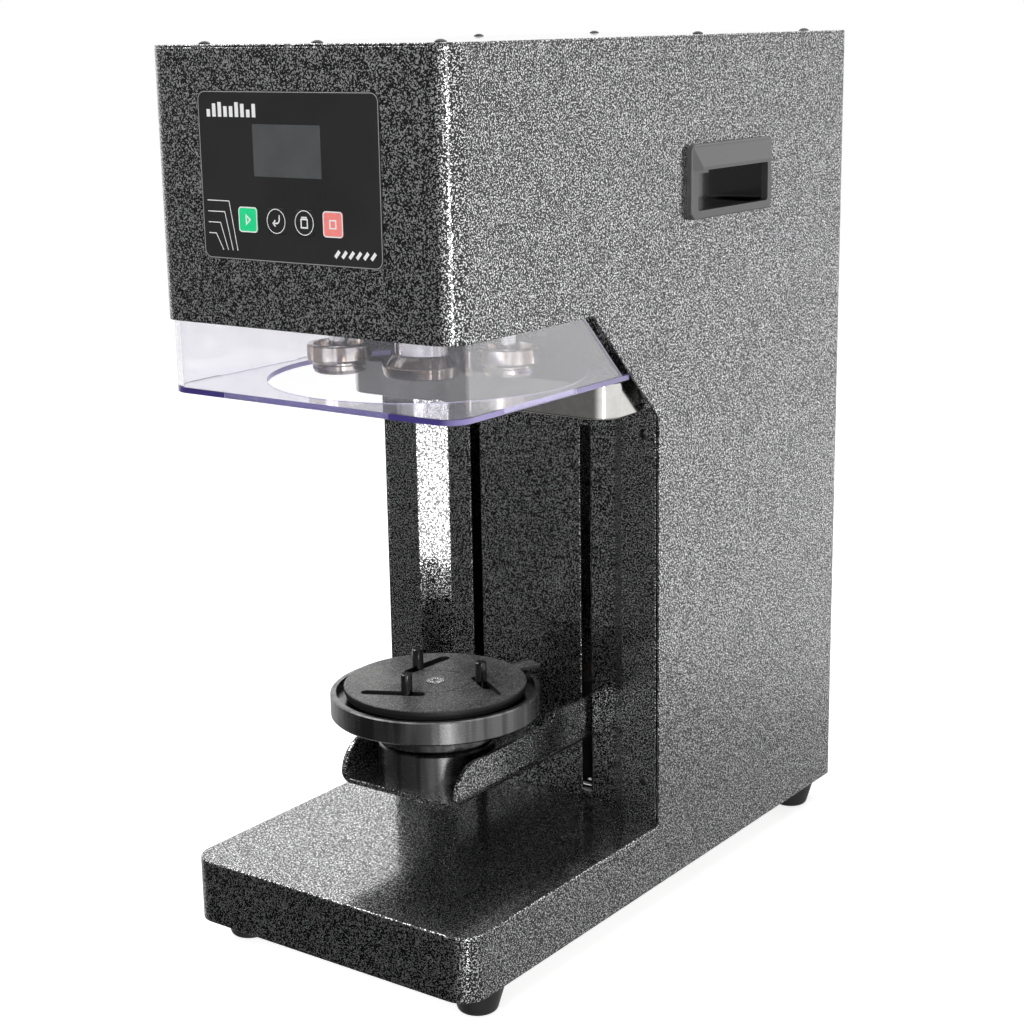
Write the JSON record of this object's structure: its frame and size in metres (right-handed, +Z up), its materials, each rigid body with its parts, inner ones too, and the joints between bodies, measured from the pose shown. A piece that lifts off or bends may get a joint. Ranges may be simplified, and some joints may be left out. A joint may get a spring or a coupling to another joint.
{
  "type": "can seamer",
  "caption": "Bench-top automatic can seamer: boxed column with an overhanging head, shielded chuck and seaming rolls, and a lifting turntable in the open throat.",
  "frame": {"origin": "centre of the footprint, on the surface that the feet stand on", "axes": "+Z up, -Y towards the operator, +X to the right of the operator who faces the machine"},
  "size_m": [0.2302, 0.4368, 0.5465],
  "materials": {
    "hammertone_paint": "glossy black hammertone stoving paint with silver-grey speckle",
    "plated_steel": "zinc-plated sheet and plate",
    "polished_steel": "polished stainless sheet",
    "clear_shield": "clear polycarbonate with a violet tint at its edges",
    "black_plastic": "moulded black plastic, fine texture",
    "panel_film": "matt black membrane film",
    "display_window": "glossy dark display window",
    "circuit_board": "green solder mask",
    "rubber_feet": "moulded dark rubber",
    "black_screws": "black-oxide socket-button screws",
    "cast_aluminium": "machined aluminium",
    "motor_case": "black painted motor case",
    "bright_steel": "turned and ground steel",
    "machined_steel": "milled steel",
    "dark_turned_metal": "satin dark turned steel",
    "black_textured_plate": "fine-textured black coating",
    "belt_rubber": "black reinforced belt",
    "nut_brass": "bronze nut",
    "green_key": "printed green membrane key",
    "red_key": "printed red membrane key",
    "black_key": "printed black membrane key"
  },
  "bodies": {
    "frame": {"casing": "hammertone_paint", "top_cover": "hammertone_paint", "back_panel": "hammertone_paint", "bottom_plate": "plated_steel", "column_cover": "hammertone_paint", "head_floor": "plated_steel", "splash_tray": "polished_steel", "shield_wall": "clear_shield", "shield_floor": "clear_shield", "handle_right": "black_plastic", "handle_left": "black_plastic", "control_overlay": "panel_film", "display_glass": "display_window", "control_board": "circuit_board", "power_inlet": "black_plastic", "feet": "rubber_feet", "case_screws": "black_screws", "foot_screws": "black_screws", "seaming_plate": "plated_steel", "spindle_housing": "cast_aluminium", "spindle_bearings": "bright_steel", "main_motor": "motor_case", "drive_belt": "belt_rubber", "cam_motor": "motor_case", "pivot_bolts": "bright_steel", "guide_rods": "bright_steel", "lower_crossmember": "plated_steel", "upper_crossmember": "plated_steel", "lift_motor": "motor_case"},
    "lift": {"lift_arm": "hammertone_paint", "carriage": "cast_aluminium", "lift_nut": "nut_brass", "table_housing": "dark_turned_metal", "table_bearings": "bright_steel", "housing_screws": "black_screws"},
    "lead_screw": {"lead_screw": "bright_steel"},
    "turntable": {"table_cup": "dark_turned_metal", "table_plate": "black_textured_plate", "table_screw": "bright_steel"},
    "adjuster": {"adjuster_disc": "black_textured_plate"},
    "pin_1": {"centring_pin_1": "bright_steel"},
    "pin_2": {"centring_pin_2": "bright_steel"},
    "pin_3": {"centring_pin_3": "bright_steel"},
    "spindle": {"spindle_shaft": "bright_steel", "chuck": "bright_steel", "chuck_bolt": "bright_steel", "spindle_pulley": "bright_steel"},
    "motor_rotor": {"motor_pulley": "bright_steel"},
    "cam": {"cam_disc": "machined_steel"},
    "arm_left": {"roll_arm_left": "machined_steel", "roll_pin_left": "bright_steel"},
    "arm_right": {"roll_arm_right": "machined_steel", "roll_pin_right": "bright_steel"},
    "roll_left": {"seaming_roll_left": "bright_steel"},
    "roll_right": {"seaming_roll_right": "bright_steel"},
    "start_key": {"key_start": "green_key"},
    "enter_key": {"key_enter": "black_key"},
    "mode_key": {"key_mode": "black_key"},
    "stop_key": {"key_stop": "red_key"},
    "rocker": {"power_rocker": "black_plastic"}
  },
  "joints": [
    {"name": "lift_slide", "type": "slide", "parent": "frame", "child": "lift", "axis": [0, 0, 1], "range_m": [-0.028, 0.15]},
    {"name": "screw_spin", "type": "hinge", "parent": "frame", "child": "lead_screw", "pos_m": [0, 0.03845, 0.2], "axis": [0, 0, 1], "range_deg": [-6755, 1265]},
    {"name": "table_spin", "type": "hinge", "parent": "lift", "child": "turntable", "pos_m": [0, -0.10555, 0.15], "axis": [0, 0, 1], "continuous": true},
    {"name": "adjuster_turn", "type": "hinge", "parent": "turntable", "child": "adjuster", "pos_m": [0, -0.10555, 0.155], "axis": [0, 0, 1], "range_deg": [-37.88, 10.88]},
    {"name": "pin_slide_1", "type": "slide", "parent": "turntable", "child": "pin_1", "axis": [-0.8931, -0.45, 0], "range_m": [-0.00735, 0.02483]},
    {"name": "pin_slide_2", "type": "slide", "parent": "turntable", "child": "pin_2", "axis": [0.0569, 0.9984, 0], "range_m": [-0.00735, 0.02483]},
    {"name": "pin_slide_3", "type": "slide", "parent": "turntable", "child": "pin_3", "axis": [0.8362, -0.5484, 0], "range_m": [-0.00735, 0.02483]},
    {"name": "spindle_spin", "type": "hinge", "parent": "frame", "child": "spindle", "pos_m": [0, -0.10555, 0.44], "axis": [0, 0, 1], "continuous": true},
    {"name": "motor_spin", "type": "hinge", "parent": "frame", "child": "motor_rotor", "pos_m": [0, 0.11745, 0.48], "axis": [0, 0, 1], "continuous": true},
    {"name": "cam_turn", "type": "hinge", "parent": "frame", "child": "cam", "pos_m": [0, -0.01055, 0.401], "axis": [0, 0, 1], "range_deg": [-18, 18]},
    {"name": "roll_swing_left", "type": "hinge", "parent": "frame", "child": "arm_left", "pos_m": [-0.0739, -0.07115, 0.413], "axis": [0, 0, 1], "range_deg": [0, 7.9]},
    {"name": "roll_swing_right", "type": "hinge", "parent": "frame", "child": "arm_right", "pos_m": [0.0336, -0.05585, 0.413], "axis": [0, 0, -1], "range_deg": [0, 10.5]},
    {"name": "roll_spin_left", "type": "hinge", "parent": "arm_left", "child": "roll_left", "pos_m": [-0.048, -0.12755, 0.36], "axis": [0, 0, 1], "continuous": true},
    {"name": "roll_spin_right", "type": "hinge", "parent": "arm_right", "child": "roll_right", "pos_m": [0.046, -0.08755, 0.36], "axis": [0, 0, 1], "continuous": true},
    {"name": "key_start_press", "type": "slide", "parent": "frame", "child": "start_key", "axis": [0, 1, 0], "range_m": [0, 0.0004], "stiffness_N_per_m": 1500},
    {"name": "key_enter_press", "type": "slide", "parent": "frame", "child": "enter_key", "axis": [0, 1, 0], "range_m": [0, 0.0004], "stiffness_N_per_m": 1500},
    {"name": "key_mode_press", "type": "slide", "parent": "frame", "child": "mode_key", "axis": [0, 1, 0], "range_m": [0, 0.0004], "stiffness_N_per_m": 1500},
    {"name": "key_stop_press", "type": "slide", "parent": "frame", "child": "stop_key", "axis": [0, 1, 0], "range_m": [0, 0.0004], "stiffness_N_per_m": 1500},
    {"name": "rocker_tilt", "type": "hinge", "parent": "frame", "child": "rocker", "pos_m": [0.062, 0.21145, 0.136], "axis": [0, 0, 1], "range_deg": [0, 18]}
  ],
  "couplings": [
    {"joint": "screw_spin", "follows": "lift_slide", "rad_per_m": -785.4},
    {"joint": "motor_spin", "follows": "spindle_spin", "ratio": 1.7143},
    {"joint": "pin_slide_1", "follows": "adjuster_turn", "m_per_rad": -0.037096},
    {"joint": "pin_slide_2", "follows": "adjuster_turn", "m_per_rad": -0.037096},
    {"joint": "pin_slide_3", "follows": "adjuster_turn", "m_per_rad": -0.037096}
  ]
}
